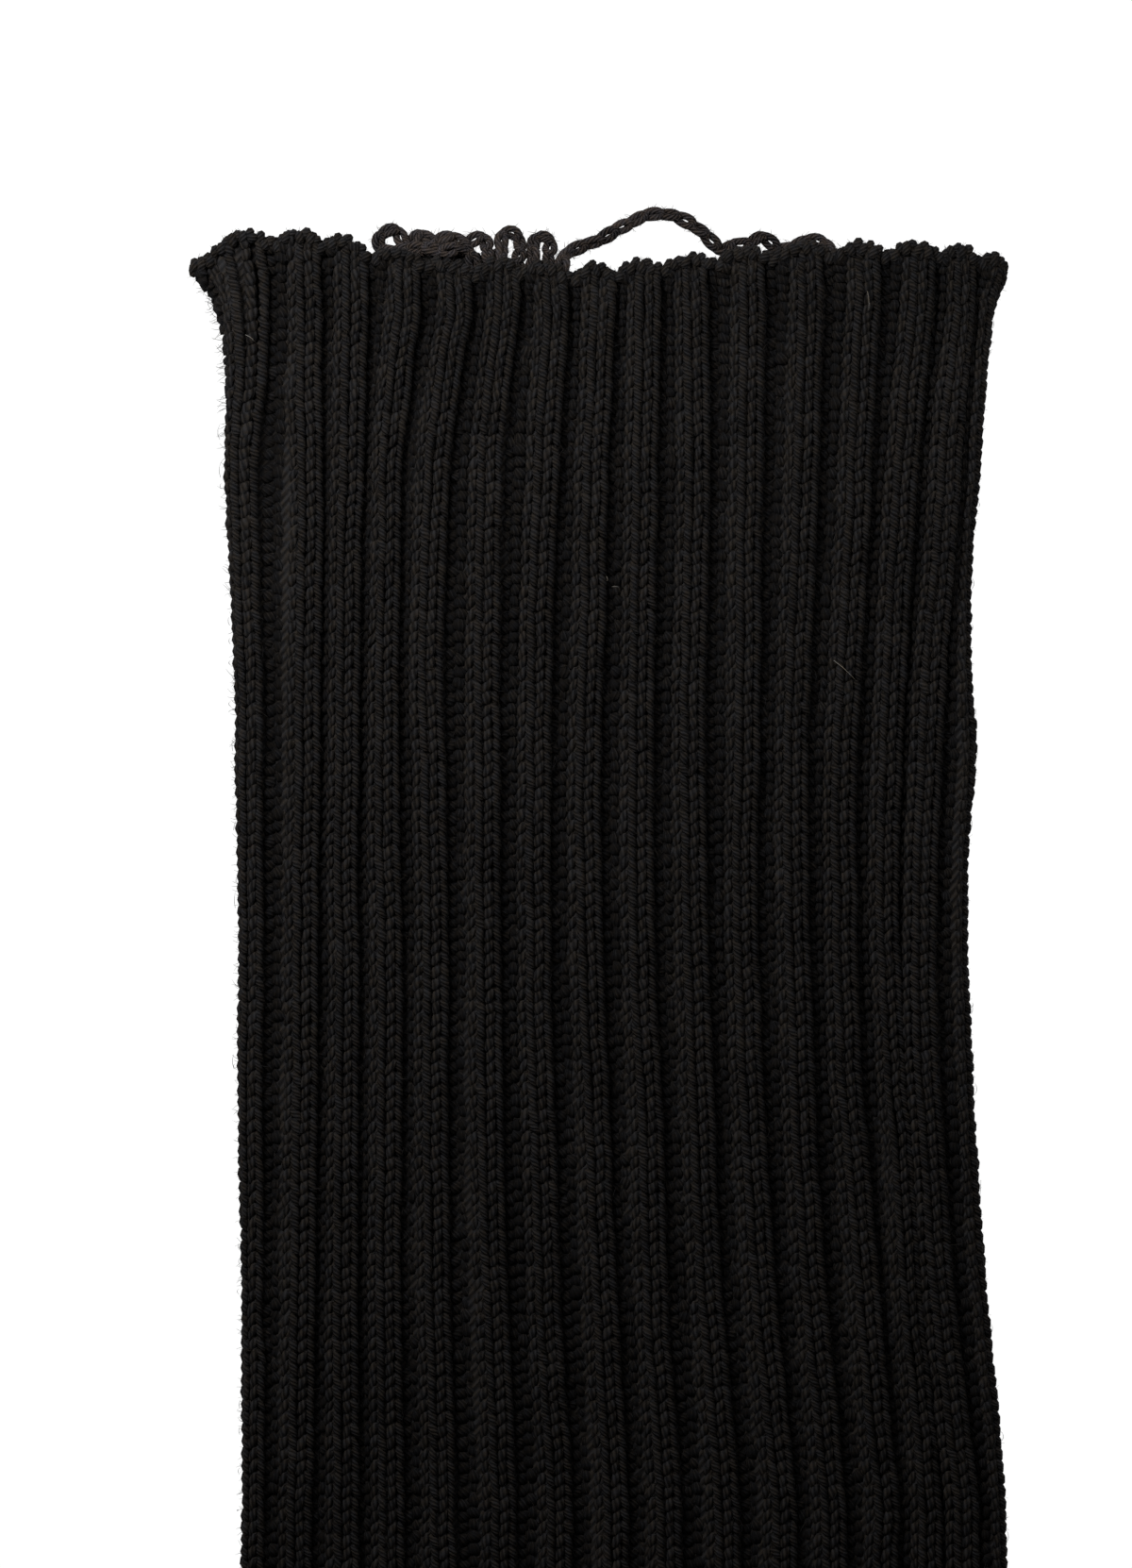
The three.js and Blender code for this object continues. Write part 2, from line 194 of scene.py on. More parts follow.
# %% Many strands as one mesh
STRAND_SIDES, STRAND_RINGS = 6, ((-0.72, 0.72), (0.0, 1.0), (0.72, 0.84))  # a ring is a place and a girth
MEAN_TONE, TONE_SPREAD = 0.5, 0.13
YARN_SHIFT = (1.0, 20.0)  # every strand's stretch of yarn is moved by up to so many turns and mm
FIBRE_RADIUS, FIBRE_SIDES = 0.06, 3
FIBRE_GIRTHS = np.array([0.8, 1.0, 0.8, 0.4])  # from root to tip
FIBRE_TONE, FIBRE_TONE_SPREAD = 0.7, 0.2
FIBRE_UV = 0.3  # one place on the yarn's map, so a fibre has no grooves
ASKEW = (0.31, 0.22, 0.92)  # a direction that no fibre follows


def unit(vectors):
    return vectors / np.linalg.norm(vectors, axis=-1, keepdims=True)


def piece_from_arrays(name, points, polygons, uv, tone, material):
    """One mesh object from points in mm, arrays of polygons, corner UVs and a tone for each point."""
    mesh = bpy.data.meshes.new(name)
    corners = np.concatenate([p.ravel() for p in polygons]).astype(np.int32)
    sizes = np.concatenate([np.full(len(p), p.shape[1]) for p in polygons])
    starts = np.concatenate([[0], np.cumsum(sizes)[:-1]]).astype(np.int32)
    mesh.vertices.add(len(points))
    mesh.vertices.foreach_set("co", (points * MM).astype(np.float32).ravel())
    mesh.loops.add(len(corners))
    mesh.loops.foreach_set("vertex_index", corners)
    mesh.polygons.add(len(sizes))
    mesh.polygons.foreach_set("loop_start", starts)
    mesh.polygons.foreach_set("use_smooth", np.ones(len(sizes), bool))
    mesh.update(calc_edges=True)
    mesh.uv_layers.new(name="yarn").data.foreach_set("uv", uv.astype(np.float32).ravel())
    mesh.attributes.new("tone", "FLOAT", "POINT").data.foreach_set("value", tone.astype(np.float32))
    mesh.materials.append(material)
    piece = bpy.data.objects.new(name, mesh)
    bpy.context.scene.collection.objects.link(piece)
    return piece


def tube_faces(first, rings, sides):
    """The four-cornered faces between rings of points that follow one another from a first point."""
    step, following = np.arange(sides), (np.arange(sides) + 1) % sides
    return np.concatenate([
        np.stack([a + step, a + following, a + sides + following, a + sides + step], 1)
        for a in range(first, first + (rings - 1) * sides, sides)])


def repeated(templates, count, size):
    """The polygons of one strand, for many strands of so many points each."""
    offsets = (np.arange(count) * size)[:, None, None]
    return [(template[None] + offsets).reshape(-1, template.shape[1]) for template in templates]


def spindles(name, middle, along, side, up, sides, rings, dive, twist=1.0, tone=None):
    """Strands of the knitting round short lines. along, side and up are each strand's half-length,
    half-width and half-height as vectors, the first and last end dive by so many half-heights, and twist
    says how fast the plies turn in each strand."""
    count, around = len(middle), np.arange(sides) * 2 * math.pi / sides
    place = np.concatenate([[-1.0], np.repeat([ring[0] for ring in rings], sides), [1.0]])
    girth = np.concatenate([[0.0], np.repeat([ring[1] for ring in rings], sides), [0.0]])
    angle = np.concatenate([[0.0], np.tile(around, len(rings)), [0.0]])
    sink = np.where(place > 0, dive[1], dive[0]) * place ** 2
    shape = [place, girth * np.cos(angle), girth * np.sin(angle) - sink]
    points = middle[:, None, :] + sum(
        vector[:, None, :] * share[None, :, None] for vector, share in zip((along, side, up), shape))
    points[..., 2] = np.maximum(points[..., 2], 0.0)
    step, following = np.arange(sides), (np.arange(sides) + 1) % sides
    last = 1 + (len(rings) - 1) * sides
    quads = tube_faces(1, len(rings), sides)
    caps = np.concatenate([
        np.stack([np.zeros(sides, int), 1 + following, 1 + step], 1),
        np.stack([np.full(sides, last + sides), last + step, last + following], 1)])
    turn = np.concatenate([[0.5], np.tile(step / sides, len(rings)), [0.5]])
    half = np.linalg.norm(along, axis=1) * twist
    shift = rng.random((count, 2)) * YARN_SHIFT
    uvs = []
    for template in (quads, caps):
        corner_turn = turn[template]
        past_seam = (np.ptp(corner_turn, axis=1) > 0.5)[:, None] & (corner_turn < 0.25) & (template > 0)
        corner_turn = corner_turn + past_seam
        length = place[template][None] * half[:, None, None]
        both = np.stack([np.broadcast_to(corner_turn[None], length.shape), length], -1)
        uvs.append((both + shift[:, None, None, :]).reshape(-1, 2))
    tone = rng.normal(MEAN_TONE, TONE_SPREAD, count) if tone is None else tone
    return piece_from_arrays(name, points.reshape(-1, 3), repeated((quads, caps), count, len(place)),
                             np.concatenate(uvs), np.repeat(tone, len(place)), knit_wool)


def fibres(name, start, along, bow, material):
    """Loose hairs: thin tubes, each from its start along a vector, and bowed sideways in its middle."""
    count, rings = len(start), len(FIBRE_GIRTHS)
    share = np.linspace(0, 1, rings)[None, :, None]
    middle = start[:, None] + along[:, None] * share + bow[:, None] * 4 * share * (1 - share)
    middle[..., 2] = np.maximum(middle[..., 2], 2 * FIBRE_RADIUS)
    forward = unit(along)
    side = unit(np.cross(forward, ASKEW))
    up = np.cross(side, forward)
    step = np.arange(FIBRE_SIDES)
    angle = step * 2 * math.pi / FIBRE_SIDES
    ring = side[:, None] * np.cos(angle)[:, None] + up[:, None] * np.sin(angle)[:, None]
    points = middle[:, :, None] + (FIBRE_RADIUS * FIBRE_GIRTHS)[None, :, None, None] * ring[:, None]
    quads = tube_faces(0, rings, FIBRE_SIDES)
    caps = np.stack([step[::-1], (rings - 1) * FIBRE_SIDES + step])
    uv = np.full((count * (quads.size + caps.size), 2), FIBRE_UV)
    tones = np.repeat(rng.normal(FIBRE_TONE, FIBRE_TONE_SPREAD, count), rings * FIBRE_SIDES)
    return piece_from_arrays(name, points.reshape(-1, 3), repeated((quads, caps), count, rings * FIBRE_SIDES),
                             uv, tones, material)


print("a strand of the upper layer has", 2 * STRAND_SIDES * len(STRAND_RINGS), "triangles")

# %% [markdown]
# The chain comes next, because a cord's place is settled before the looks. The real one is crocheted: each
# loop of thin yarn is pulled through the one before it, so it reads as a row of small links with pinholes
# between them. It lies slack on the surface beyond the top edge and both ends go into the tube's mouth. Its
# route is the solid's own, a smooth curve through listed points. Along it each link is a teardrop
# ring, and the ring's back end dips under the front of the link before.

# %% The chain's route
CHAIN_ROUTE = np.array([
    (-27.6, 216.8, 6.35), (-28.0, 220.2, 6.35), (-28.3, 223.4, 6.35), (-29.2, 225.8, 6.35),
    (-31.4, 226.3, 6.35), (-34.4, 225.5, 6.35), (-38.6, 226.1, 6.35), (-43.2, 226.0, 5.20),
    (-46.6, 225.6, 2.40),
    (-48.8, 226.4, 1.50), (-49.5, 228.4, 1.50), (-48.4, 230.1, 1.50), (-46.4, 230.7, 1.50),
    (-44.8, 229.8, 1.50), (-44.2, 228.3, 1.50), (-43.0, 227.7, 1.50), (-41.8, 228.2, 1.50),
    (-40.9, 229.3, 1.50), (-39.3, 229.4, 1.50), (-37.5, 228.3, 1.50), (-34.9, 229.1, 1.50),
    (-32.6, 228.8, 1.50), (-30.3, 227.7, 1.50), (-28.1, 228.6, 1.50), (-26.9, 228.9, 1.50),
    (-25.6, 228.0, 2.20), (-25.0, 226.2, 4.00), (-25.0, 224.3, 5.90), (-24.9, 222.5, 6.35),
    (-24.5, 221.3, 6.35), (-23.4, 220.8, 6.35), (-22.3, 221.3, 6.35), (-21.9, 222.5, 6.35),
    (-21.8, 224.8, 5.50), (-22.0, 227.4, 2.80), (-21.8, 229.2, 1.55), (-20.0, 230.2, 1.50),
    (-18.2, 229.2, 1.50), (-17.9, 226.8, 2.60), (-18.0, 224.2, 5.40), (-18.0, 222.3, 6.35),
    (-17.6, 221.0, 6.35), (-16.5, 220.5, 6.35), (-15.4, 221.0, 6.35), (-15.0, 222.3, 6.35),
    (-14.9, 224.4, 5.40), (-14.9, 226.8, 2.60), (-14.6, 228.5, 1.55), (-13.0, 229.4, 1.50),
    (-11.4, 228.3, 1.55), (-11.2, 226.2, 2.80), (-11.5, 223.8, 5.40), (-11.6, 222.1, 6.35),
    (-11.2, 220.9, 6.35), (-10.1, 220.4, 6.35), (-9.0, 220.9, 6.35), (-8.5, 222.2, 6.15), (-8.2, 224.2, 4.60),
    (-6.5, 226.0, 2.00), (-3.6, 227.2, 1.50), (0.0, 228.6, 1.50), (4.9, 231.4, 1.50), (10.9, 234.1, 1.50),
    (15.0, 234.2, 1.50), (18.6, 233.0, 1.50), (22.0, 230.9, 1.50), (25.2, 227.8, 1.50), (26.6, 226.5, 1.50),
    (28.0, 226.4, 1.50), (29.8, 227.3, 1.50), (31.6, 227.2, 1.50), (33.6, 228.0, 1.50), (35.8, 229.1, 1.50),
    (38.0, 228.0, 1.50), (39.9, 226.5, 1.50), (42.6, 226.6, 1.50), (45.6, 228.2, 1.50), (48.4, 228.2, 1.50),
    (50.8, 226.7, 2.60), (52.3, 222.8, 6.20), (52.6, 218.4, 6.25),
])


def smooth_route(stops, steps):
    """Points of the centripetal curve through the stops, so many for each stretch between two of them."""
    ends = [2 * stops[0] - stops[1], *stops, 2 * stops[-1] - stops[-2]]
    line = []
    for a, b, c, d in zip(ends, ends[1:], ends[2:], ends[3:]):
        knots = np.cumsum([0.0] + [math.sqrt(np.linalg.norm(q - p)) for p, q in ((a, b), (b, c), (c, d))])
        for t in np.linspace(knots[1], knots[2], steps, endpoint=False):
            def blend(p, q, i, j):
                return ((knots[j] - t) * p + (t - knots[i]) * q) / (knots[j] - knots[i])
            ab, bc, cd = blend(a, b, 0, 1), blend(b, c, 1, 2), blend(c, d, 2, 3)
            line.append(blend(blend(ab, bc, 0, 2), blend(bc, cd, 1, 3), 1, 2))
    return np.array(line + [stops[-1]])


def on_line(line, run, place):
    """Points of a line at places along it."""
    return np.stack([np.interp(place, run, line[:, i]) for i in range(3)], -1)


ROUTE_STEPS = 10  # points of the curve from one stop to the next

chain_line = smooth_route(CHAIN_ROUTE, ROUTE_STEPS)
chain_run = np.concatenate([[0.0], np.cumsum(np.linalg.norm(np.diff(chain_line, axis=0), axis=1))])
print("the chain is", round(chain_run[-1], 1), "mm long")

# %% Crochet the chain
LINK_PITCH = 3.7  # one chain stitch
LINK_LENGTH = 4.5  # the middle line of a link's ring
LINK_WIDTH = (1.3, 2.0)  # the narrowest and the widest ring; only a wide one shows a pinhole
LINK_TAPER = 0.22  # a link is a teardrop, wider in front
LINK_RISE, LINK_SINK = 0.45, 0.05  # its front rises over the next one's back, which dips
CHAIN_YARN_RADIUS = 0.83
CHAIN_SWAY_MM = 60.0  # the chain is flat like a ribbon, and leans both ways in this length
SWAY_TURN, ZIGZAG_TURN = 0.4, 0.3  # how far a link turns with that sway, and against its neighbours
AIM_REACH = 0.4  # a direction comes from points so far on and so far back
FLOOR_GAP = 0.05
CHAIN_TONE, CHAIN_TONE_SPREAD = 0.55, 0.14
RING_STEPS, YARN_SIDES = 18, 8
FUZZ_COUNT, FUZZ_MARGIN = 1200, 1.0
FUZZ_AIM_REACH = 0.5
FUZZ_ROOT = 0.9  # the fuzz starts so far from the middle
FUZZ_LENGTH = (0.6, 1.6)  # and stands off so far
FUZZ_LEAN, FUZZ_BOW = 1.1, 0.3


def chain_links(name, line, run, material):
    """Teardrop rings of yarn along a line, each turned a little about it."""
    count = int((run[-1] - LINK_LENGTH) / LINK_PITCH) + 1
    stops = LINK_LENGTH / 2 + np.arange(count) * (run[-1] - LINK_LENGTH) / (count - 1)
    turn = np.arange(RING_STEPS) * 2 * math.pi / RING_STEPS
    zigzag = np.where(np.arange(count) % 2, -ZIGZAG_TURN, ZIGZAG_TURN)
    spin = SWAY_TURN * np.sin(2 * math.pi * stops / CHAIN_SWAY_MM) + zigzag
    ring_place = stops[:, None] + LINK_LENGTH / 2 * np.cos(turn)[None]
    centre = on_line(line, run, ring_place)
    tangent = unit(on_line(line, run, ring_place + AIM_REACH) - on_line(line, run, ring_place - AIM_REACH))
    level = unit(np.cross([0.0, 0.0, 1.0], tangent))
    rise = np.cross(tangent, level)
    c, s = np.cos(spin)[:, None, None], np.sin(spin)[:, None, None]
    across, over = c * level + s * rise, c * rise - s * level
    width = rng.uniform(*LINK_WIDTH, count)[:, None]
    narrow = width / 2 * np.sin(turn) * (1 + LINK_TAPER * np.cos(turn))
    lift = LINK_RISE * np.cos(turn) - LINK_SINK
    middle = centre + across * narrow[..., None] + over * lift[None, :, None]
    forward = unit(np.roll(middle, -1, axis=1) - np.roll(middle, 1, axis=1))
    outward = unit(over - (over * forward).sum(-1, keepdims=True) * forward)
    aside = np.cross(forward, outward)
    angle = np.arange(YARN_SIDES) * 2 * math.pi / YARN_SIDES
    points = middle[:, :, None] + CHAIN_YARN_RADIUS * (
        aside[:, :, None] * np.cos(angle)[:, None] + outward[:, :, None] * np.sin(angle)[:, None])
    points[..., 2] = np.maximum(points[..., 2], FLOOR_GAP)
    per_link = RING_STEPS * YARN_SIDES
    i, j = np.divmod(np.arange(per_link), YARN_SIDES)
    next_i, next_j = (i + 1) % RING_STEPS, (j + 1) % YARN_SIDES
    template = np.stack([i * YARN_SIDES + j, next_i * YARN_SIDES + j,
                         next_i * YARN_SIDES + next_j, i * YARN_SIDES + next_j], 1)
    yarn_step = 2 * (LINK_LENGTH + LINK_WIDTH[0]) / RING_STEPS
    corners = ((j, i), (j, i + 1), (j + 1, i + 1), (j + 1, i))
    corner_uv = np.stack([np.stack([a / YARN_SIDES, b * yarn_step], -1) for a, b in corners], 1)
    uv = np.tile(corner_uv, (count, 1, 1)).reshape(-1, 2)
    tone = np.repeat(rng.normal(CHAIN_TONE, CHAIN_TONE_SPREAD, count), per_link)
    return piece_from_arrays(name, points.reshape(-1, 3), repeated([template], count, per_link), uv, tone,
                             material)


def chain_fuzz(name, line, run, material):
    """Short fibres that stand off the chain on all sides."""
    spot = rng.uniform(FUZZ_MARGIN, run[-1] - FUZZ_MARGIN, FUZZ_COUNT)
    place = on_line(line, run, spot)
    tangent = (on_line(line, run, spot + FUZZ_AIM_REACH) - place) / FUZZ_AIM_REACH
    away = rng.normal(size=(FUZZ_COUNT, 3))
    away = unit(away - (away * tangent).sum(1, keepdims=True) * tangent)
    along = away * rng.uniform(*FUZZ_LENGTH, (FUZZ_COUNT, 1))
    along = along + tangent * rng.normal(0, FUZZ_LEAN, (FUZZ_COUNT, 1))
    bow = tangent * rng.normal(0, FUZZ_BOW, (FUZZ_COUNT, 1))
    return fibres(name, place + away * FUZZ_ROOT, along, bow, material)


chain = chain_links("crocheted_chain", chain_line, chain_run, chain_wool)
fuzz = chain_fuzz("chain_fuzz", chain_line, chain_run, chain_wool)
for piece in (chain, fuzz):
    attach(piece, "root")
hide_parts("chain_cord")
print("links:", len(chain.data.vertices) // (RING_STEPS * YARN_SIDES))

# %% [markdown]
# The knitting needs to know where it is. These are the sizes and tables that the solid tube was worked out
# from: both folds of the flat tube at each level, the valleys between the ribs of the upper side, and the
# height of the top edge. Three things come closer to the photograph than the solid does: the far rim stands
# a little higher behind the chain, the folds are a little fuller, and the left corner hangs down beside its
# tip. A place on the tube is a level, a distance round the section and a distance out from the inside.

# %% Sizes of the tube
LENGTH = 460.0
TOP_LEVEL, HEM_LEVEL = LENGTH / 2 - 1, 1 - LENGTH / 2
RIBS = 30
RIB_WALL, VALLEY_WALL, HALF_GAP = 4.7, 2.4, 0.3
FOLD_RADIUS = HALF_GAP + RIB_WALL
QUARTER_FOLD = math.pi * FOLD_RADIUS / 2
MOUTH_LIFT, MOUTH_DEPTH, MOUTH_SIDE = 3.1, 34.0, 28.0
EDGE_REACH = 39.0
LOBE, HEM_LOBE_SHARE = 1.0, 0.7  # every rib ends in a lobe, a smaller one at the hem
FOLD_FULLNESS = (1.6, 0.95)  # the knitting bulges this much past the left and the right fold
CORNER_DROOP, CORNER_REACH = 2.7, 11.0  # how far the left corner hangs down, and over what width
DROOP_RISE, DROOP_FALL = 4.0, 1.4  # it is deepest a quarter of that width in, and fades out beyond
LEFT_FOLD_VALLEY, RIGHT_FOLD_VALLEY = -3.0, 3.5  # the valley beside each fold, measured from it
WAIST_LEVEL = 72.0

OUTLINE_COLUMNS = ("level", "left", "right")
OUTLINE = np.array([
    (229, -90.5, 89.8), (225, -90.0, 90.3), (220, -88.0, 88.3), (214, -86.4, 86.8), (207, -84.6, 86.3),
    (198, -83.8, 85.4), (176, -83.4, 83.9), (155, -82.2, 82.0), (134, -81.4, 82.0), (114, -80.8, 83.0),
    (93, -80.4, 81.4), (72, -80.0, 81.1), (51, -80.2, 82.0), (30, -80.0, 82.9), (9, -79.4, 84.3),
    (-12, -79.1, 86.0), (-33, -79.1, 88.0), (-54, -79.1, 89.6), (-100, -80.0, 90.2), (-150, -80.5, 90.4),
    (-195, -81.2, 90.2), (HEM_LEVEL, -83.0, 90.4),
])

VALLEY_LEVELS = (214, 176, 93, 9, -54)
VALLEYS = np.array([  # a row for each valley, and a column for each of those levels
    (-72.0, -73.4, -73.6, -74.2, -74.4), (-61.6, -62.4, -62.4, -63.2, -64.0),
    (-51.2, -53.0, -53.6, -54.0, -53.4), (-39.0, -44.6, -44.2, -44.4, -43.2),
    (-27.5, -32.5, -33.1, -33.1, -30.4), (-18.0, -19.3, -21.4, -20.0, -17.2),
    (-6.2, -8.5, -10.3, -8.0, -5.5), (3.4, 2.4, 1.0, 3.4, 6.8), (13.5, 13.7, 12.6, 15.6, 19.3),
    (25.2, 24.8, 25.0, 26.9, 32.1), (38.0, 37.3, 35.6, 38.4, 43.8), (51.5, 49.4, 47.1, 50.1, 55.3),
    (63.6, 61.3, 57.4, 61.0, 66.6), (75.6, 71.2, 66.2, 69.4, 75.6), (83.8, 81.0, 76.0, 78.7, 85.4),
])

EDGE_COLUMNS = ("across", "front", "back")
TOP_EDGE = np.array([
    (-90.5, 223.0, 223.0), (-86.0, 226.4, 223.4), (-80.5, 228.6, 224.0), (-64.0, 228.2, 223.2),
    (-56.4, 226.8, 222.4), (-49.5, 224.4, 221.6), (-44.0, 223.6, 222.6), (-39.0, 223.2, 225.8),
    (-34.0, 221.4, 225.8), (-28.5, 221.0, 225.0), (-27.0, 221.2, 225.0), (-24.5, 221.4, 224.8),
    (-21.8, 221.5, 224.4), (-19.5, 221.6, 220.8),
    (-7.5, 220.2, 219.0), (3.0, 220.8, 219.0), (17.5, 222.3, 219.6), (30.0, 223.9, 220.4),
    (44.5, 225.3, 221.4),
    (65.5, 225.4, 222.4), (80.0, 225.0, 222.6), (90.3, 222.2, 222.2),
])


def curve_through(at, value):
    """A smooth curve through values given at rising places, as a function of arrays."""
    order = np.argsort(at)
    at, value = np.asarray(at, float)[order], np.asarray(value, float)[order]
    before, after = np.maximum(np.arange(len(at)) - 1, 0), np.minimum(np.arange(len(at)) + 1, len(at) - 1)
    slope = (value[after] - value[before]) / (at[after] - at[before])

    def curve(place):
        place = np.clip(place, at[0], at[-1])
        i = np.clip(np.searchsorted(at, place, side="right") - 1, 0, len(at) - 2)
        step = at[i + 1] - at[i]
        t = (place - at[i]) / step
        return ((2 * t ** 3 - 3 * t ** 2 + 1) * value[i] + (t ** 3 - 2 * t ** 2 + t) * slope[i] * step
                + (3 * t ** 2 - 2 * t ** 3) * value[i + 1] + (t ** 3 - t ** 2) * slope[i + 1] * step)
    return curve


left_fold = curve_through(OUTLINE[:, 0], OUTLINE[:, OUTLINE_COLUMNS.index("left")])
right_fold = curve_through(OUTLINE[:, 0], OUTLINE[:, OUTLINE_COLUMNS.index("right")])
front_edge = curve_through(TOP_EDGE[:, 0], TOP_EDGE[:, EDGE_COLUMNS.index("front")])
back_edge = curve_through(TOP_EDGE[:, 0], TOP_EDGE[:, EDGE_COLUMNS.index("back")])
valley_curves = [curve_through(VALLEY_LEVELS, row) for row in VALLEYS]
print("narrowest", round(float(right_fold(WAIST_LEVEL) - left_fold(WAIST_LEVEL)), 1), "mm across")


# %% Places on the tube
def smooth(share):
    t = np.clip(share, 0.0, 1.0)
    return t * t * (3 - 2 * t)


def place_on_section(level, distance):
    """How far across a place is, and which way the section faces there: 0 is up and a quarter turn is to the
    right. The way round starts at the left fold and crosses the upper side first."""
    left, right = left_fold(level) + FOLD_RADIUS, right_fold(level) - FOLD_RADIUS
    run = right - left
    along = distance % (2 * run + 4 * QUARTER_FOLD)
    ends = (QUARTER_FOLD, QUARTER_FOLD + run, 3 * QUARTER_FOLD + run, 3 * QUARTER_FOLD + 2 * run)
    stretches = [along < end for end in ends]
    across = np.select(stretches, [left, left + along - ends[0], right, right - (along - ends[2])], left)
    turns = [along / FOLD_RADIUS - math.pi / 2, 0 * along, (along - ends[1]) / FOLD_RADIUS,
             0 * along + math.pi]
    return across, np.select(stretches, turns, math.pi + (along - ends[3]) / FOLD_RADIUS)


def valley_distances(level):
    """Where each valley lies along the section at an array of levels: one row for each valley."""
    left = left_fold(level) + FOLD_RADIUS
    half = right_fold(level) - FOLD_RADIUS - left + 2 * QUARTER_FOLD
    upper = [curve(level) - left + QUARTER_FOLD for curve in valley_curves]
    first, last = half + RIGHT_FOLD_VALLEY, 2 * half + LEFT_FOLD_VALLEY
    count = RIBS - len(upper) - 1
    under = [first + (last - first) * i / count for i in range(count + 1)]
    return np.array([LEFT_FOLD_VALLEY + 0 * level, *upper, *under])


def knitted(level, distance, out, lobe=0.0):
    """Points of the knitting in millimetres, and its directions round the section and outward."""
    across, turn = place_on_section(level, distance)
    sine, up = np.sin(turn), np.cos(turn)
    x = across + sine * (HALF_GAP + out + np.where(sine < 0, *FOLD_FULLNESS) * sine ** 2)
    edge = back_edge(x) + (front_edge(x) - back_edge(x)) * (up + 1) / 2
    near_top = np.maximum((level - TOP_LEVEL + EDGE_REACH) / EDGE_REACH, 0.0) ** 2
    from_fold = np.minimum(x - left_fold(level), right_fold(level) - x)
    lift = MOUTH_LIFT * smooth((level - TOP_LEVEL + MOUTH_DEPTH) / MOUTH_DEPTH)
    lift = lift * smooth(from_fold / MOUTH_SIDE)
    z = FOLD_RADIUS + up * (HALF_GAP + out) + np.maximum(up, 0.0) * lift
    inward = (x - left_fold(level)) / CORNER_REACH
    droop = CORNER_DROOP * smooth(DROOP_RISE * inward) * smooth(DROOP_FALL - DROOP_FALL * inward)
    point = np.stack([x, level + (edge - droop - TOP_LEVEL) * near_top + lobe, z], -1)
    return point, np.stack([up, 0 * up, -sine], -1), np.stack([sine, 0 * up, up], -1)


way_round = valley_distances(np.array([WAIST_LEVEL]))[-1, 0] - LEFT_FOLD_VALLEY
print("round the waist:", round(float(way_round), 1), "mm")

# %% [markdown]
# Under the stitches is the body of the cloth, the yarn that the camera never sees clearly. It is one thin
# closed shell: the outside follows the ribs a strand's depth below their crests, the inside is plain, and
# the two meet at the open ends. The stitches stand on it. Its flat size is the tube slit down one side and
# opened out.

# %% The cloth under the stitches
RIB_DEPTH, VALLEY_DEPTH = 1.1, 1.1  # how far the shell stays below the outside of the stitches
SHELL_STOPS = np.linspace(0, 1, 10, endpoint=False)  # from one valley to the next
RIM_INSET = 0.3  # the shell stops a little short of both rims
SHELL_LEVELS = np.concatenate([
    np.linspace(TOP_LEVEL - RIM_INSET, 186, 16),  # close together where the top flares
    np.linspace(180, HEM_LEVEL + RIM_INSET, 60)])
INSIDE_STEP = 2  # the inside has every second point of the outside
END_TAPER, END_REACH = 0.2, 3.0  # the wall thins by this share towards the rims
# painted shade and light: the shell's wool is darker in the valleys, as painted shade, and lighter under the
# ribs, as painted light that lifts the gaps between the strands
VALLEY_SHADE_TONE, RIB_GAP_LIGHT_TONE = -0.1, 0.9  # how light its wool is in the valleys, and under the ribs
SHELL_UV = (0.1, 0.5)  # how fast the yarn's map runs across and along the leg


def shell_of_cloth(name, material):
    valleys = valley_distances(SHELL_LEVELS)
    spots = (valleys[:-1, :, None] + np.diff(valleys, axis=0)[:, :, None] * SHELL_STOPS).transpose(1, 0, 2)
    distance = spots.reshape(len(SHELL_LEVELS), -1)
    level = np.broadcast_to(SHELL_LEVELS[:, None], distance.shape)
    crest = np.tile(np.sin(math.pi * SHELL_STOPS) ** 2, RIBS)[None]
    end = np.minimum(smooth((TOP_LEVEL - level) / END_REACH), smooth((level - HEM_LEVEL) / END_REACH))
    wall = VALLEY_WALL - VALLEY_DEPTH + (RIB_WALL - RIB_DEPTH - VALLEY_WALL + VALLEY_DEPTH) * crest
    wall = wall * (1 - END_TAPER + END_TAPER * end)
    outside = knitted(level, distance, wall)[0]
    inside = knitted(level, distance, 0 * wall)[0][:, ::INSIDE_STEP]
    rows, around = distance.shape
    fewer = around // INSIDE_STEP
    points = np.concatenate([outside.reshape(-1, 3), inside.reshape(-1, 3)])

    def bands(start, width, facing_out):
        i, j = np.meshgrid(np.arange(rows - 1), np.arange(width), indexing="ij")
        a, b = start + i * width + j, start + i * width + (j + 1) % width
        corners = [a, a + width, b + width, b] if facing_out else [a, b, b + width, a + width]
        return np.stack([c.ravel() for c in corners], 1)

    def rim(row, facing_up):
        step = np.arange(fewer)
        a, middle, b = (row * around + (INSIDE_STEP * step + k) % around for k in range(INSIDE_STEP + 1))
        inner = rows * around + row * fewer + step
        following = rows * around + row * fewer + (step + 1) % fewer
        quad, corner = np.stack([a, middle, following, inner], 1), np.stack([middle, b, following], 1)
        return [quad, corner] if facing_up else [quad[:, ::-1], corner[:, ::-1]]

    polygons = [bands(0, around, True), bands(rows * around, fewer, False), *rim(0, True),
                *rim(rows - 1, False)]
    uv = np.concatenate([points[p.ravel()][:, [0, 1]] for p in polygons]) * SHELL_UV
    # The shell's tone paints shade into the valleys and light into the gaps under the ribs.
    tone = np.full(len(points), VALLEY_SHADE_TONE)
    tone[:rows * around] += ((RIB_GAP_LIGHT_TONE - VALLEY_SHADE_TONE) * np.broadcast_to(crest, distance.shape)).ravel()
    return piece_from_arrays(name, points, polygons, uv, tone, material)


cloth = shell_of_cloth("tube_cloth", knit_wool)
print("the shell has", len(cloth.data.polygons), "faces")

# %% [markdown]
# Each rib is two columns of knit stitches, and each stitch shows as a V: two strands that start together
# and spread upward, where the next row's V is tucked between them. So a rib is four columns of slanting
# strands. The outer columns roll down into the valleys. Rows are 2.6 to 2.8 mm apart, as counted in the
# photograph, and hand knitting is never even, so every strand varies a little and every column wanders.

